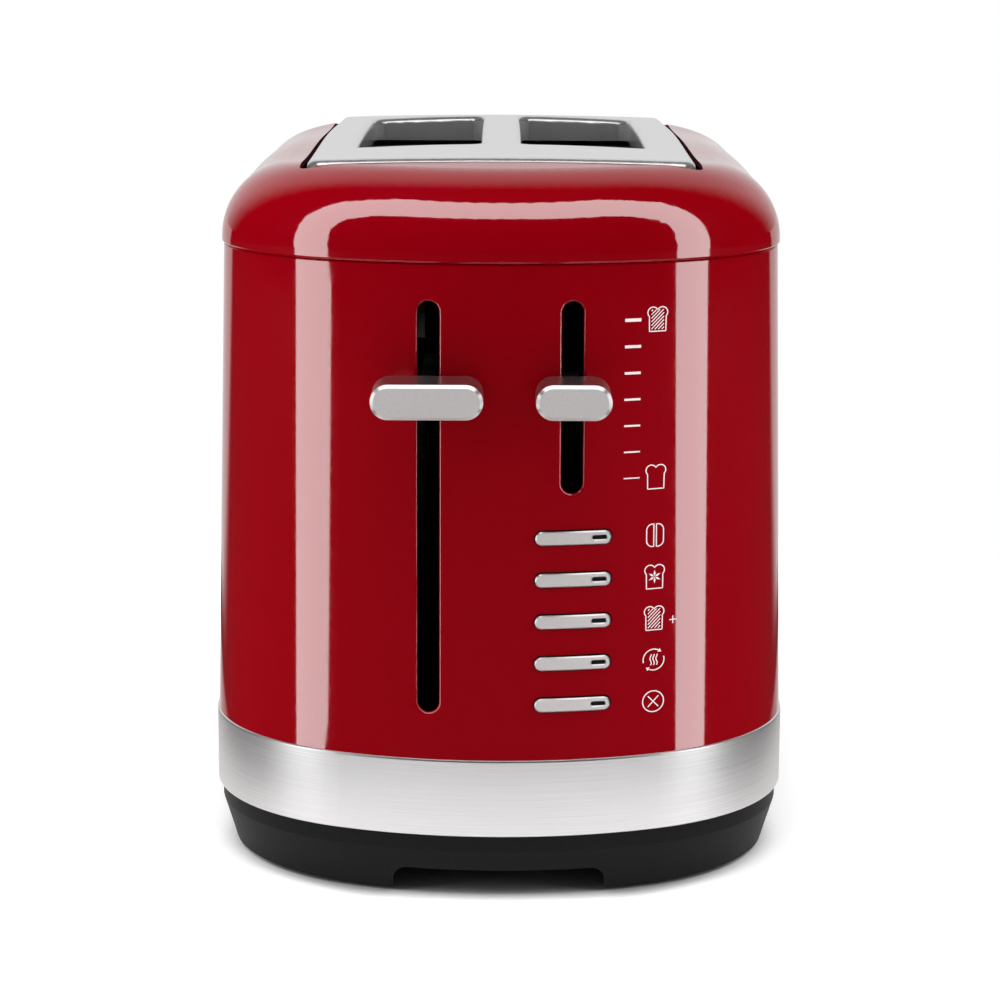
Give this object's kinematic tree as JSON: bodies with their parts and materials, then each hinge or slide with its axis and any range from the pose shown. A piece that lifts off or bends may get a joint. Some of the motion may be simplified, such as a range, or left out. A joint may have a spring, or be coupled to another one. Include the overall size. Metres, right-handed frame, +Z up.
{
  "type": "pop up toaster",
  "caption": "Pop-up toaster with bread slots in a steel top plate, a glossy rounded body on a steel band and dark base, and a lever, slider and buttons on its narrow end.",
  "frame": {"origin": "middle of the whole toaster, knobs included, on the surface that it stands on", "axes": "+Z up, controls face -Y, +X to the right seen from the front"},
  "size_m": [0.1694, 0.2924, 0.2094],
  "materials": {
    "red_enamel": "high gloss enamel",
    "brushed_steel": "brushed along its length",
    "black_plastic": "satin moulded",
    "rubber": "matte",
    "satin_metal": "satin with polished edges",
    "dark_window": "gloss",
    "galvanised_sheet": "mill",
    "plain_steel": "plain",
    "mica": "matte",
    "heating_ribbon": "oxidised",
    "copper_winding": "enamelled wire",
    "control_plastic": "moulded",
    "board_green": "solder mask"
  },
  "bodies": {
    "housing": {"base": "black_plastic", "foot_pads": "rubber", "base_screws": "plain_steel", "cord_gland": "rubber", "base_band": "brushed_steel", "body_shell": "red_enamel", "lid": "red_enamel", "top_trim": "brushed_steel", "front_plate": "galvanised_sheet", "rear_plate": "galvanised_sheet", "reflector_left": "galvanised_sheet", "reflector_right": "galvanised_sheet", "heater_board_left": "mica", "heater_board_centre": "mica", "heater_board_right": "mica", "heater_ribbon_left": "heating_ribbon", "heater_ribbon_centre": "heating_ribbon", "heater_ribbon_right": "heating_ribbon", "guide_rods": "plain_steel", "magnet_core": "plain_steel", "magnet_coil": "copper_winding", "power_switch": "control_plastic", "control_carrier": "control_plastic", "control_board": "board_green", "slide_pot": "control_plastic", "button_switches": "control_plastic", "lift_spring_left": "plain_steel", "lift_spring_right": "plain_steel"},
    "carriage": {"carriage": "galvanised_sheet", "armature": "plain_steel", "rack_left": "plain_steel", "rack_right": "plain_steel", "lever_stem": "control_plastic", "lever_knob": "satin_metal"},
    "browning": {"browning_stem": "control_plastic", "browning_knob": "satin_metal"},
    "tray": {"crumb_tray": "galvanised_sheet", "tray_handle": "black_plastic"},
    "button_bagel": {"button_bagel": "satin_metal", "window_bagel": "dark_window"},
    "button_defrost": {"button_defrost": "satin_metal", "window_defrost": "dark_window"},
    "button_extra": {"button_extra": "satin_metal", "window_extra": "dark_window"},
    "button_reheat": {"button_reheat": "satin_metal", "window_reheat": "dark_window"},
    "button_cancel": {"button_cancel": "satin_metal", "window_cancel": "dark_window"},
    "guard_left_outer": {"guard_left_outer": "plain_steel"},
    "guard_left_inner": {"guard_left_inner": "plain_steel"},
    "guard_right_inner": {"guard_right_inner": "plain_steel"},
    "guard_right_outer": {"guard_right_outer": "plain_steel"}
  },
  "joints": [
    {"name": "lift_slide", "type": "slide", "parent": "housing", "child": "carriage", "axis": [0, 0, 1], "range_m": [-0.082, 0.016], "stiffness_N_per_m": 80, "springref_m": 0.019, "deforming": ["lift_spring_left", "lift_spring_right"]},
    {"name": "browning_slide", "type": "slide", "parent": "housing", "child": "browning", "axis": [0, 0, 1], "range_m": [-0.024, 0.02]},
    {"name": "tray_slide", "type": "slide", "parent": "housing", "child": "tray", "axis": [0, 1, 0], "range_m": [0, 0.19]},
    {"name": "button_bagel_press", "type": "slide", "parent": "housing", "child": "button_bagel", "axis": [0, 1, 0], "range_m": [0, 0.0015], "stiffness_N_per_m": 300, "springref_m": -0.001},
    {"name": "button_defrost_press", "type": "slide", "parent": "housing", "child": "button_defrost", "axis": [0, 1, 0], "range_m": [0, 0.0015], "stiffness_N_per_m": 300, "springref_m": -0.001},
    {"name": "button_extra_press", "type": "slide", "parent": "housing", "child": "button_extra", "axis": [0, 1, 0], "range_m": [0, 0.0015], "stiffness_N_per_m": 300, "springref_m": -0.001},
    {"name": "button_reheat_press", "type": "slide", "parent": "housing", "child": "button_reheat", "axis": [0, 1, 0], "range_m": [0, 0.0015], "stiffness_N_per_m": 300, "springref_m": -0.001},
    {"name": "button_cancel_press", "type": "slide", "parent": "housing", "child": "button_cancel", "axis": [0, 1, 0], "range_m": [0, 0.0015], "stiffness_N_per_m": 300, "springref_m": -0.001},
    {"name": "guard_left_outer_tilt", "type": "hinge", "parent": "housing", "child": "guard_left_outer", "pos_m": [-0.0403, 0.00875, 0.062], "axis": [0, 1, 0], "range_deg": [-1, 4.1]},
    {"name": "guard_left_inner_tilt", "type": "hinge", "parent": "housing", "child": "guard_left_inner", "pos_m": [-0.0081, 0.00875, 0.062], "axis": [0, 1, 0], "range_deg": [-4.1, 1]},
    {"name": "guard_right_inner_tilt", "type": "hinge", "parent": "housing", "child": "guard_right_inner", "pos_m": [0.0081, 0.00875, 0.062], "axis": [0, 1, 0], "range_deg": [-1, 4.1]},
    {"name": "guard_right_outer_tilt", "type": "hinge", "parent": "housing", "child": "guard_right_outer", "pos_m": [0.0403, 0.00875, 0.062], "axis": [0, 1, 0], "range_deg": [-4.1, 1]}
  ],
  "couplings": [
    {"joint": "guard_left_outer_tilt", "follows": "lift_slide", "rad_per_m": -0.85138},
    {"joint": "guard_left_inner_tilt", "follows": "lift_slide", "rad_per_m": 0.85138},
    {"joint": "guard_right_inner_tilt", "follows": "lift_slide", "rad_per_m": -0.85138},
    {"joint": "guard_right_outer_tilt", "follows": "lift_slide", "rad_per_m": 0.85138}
  ]
}
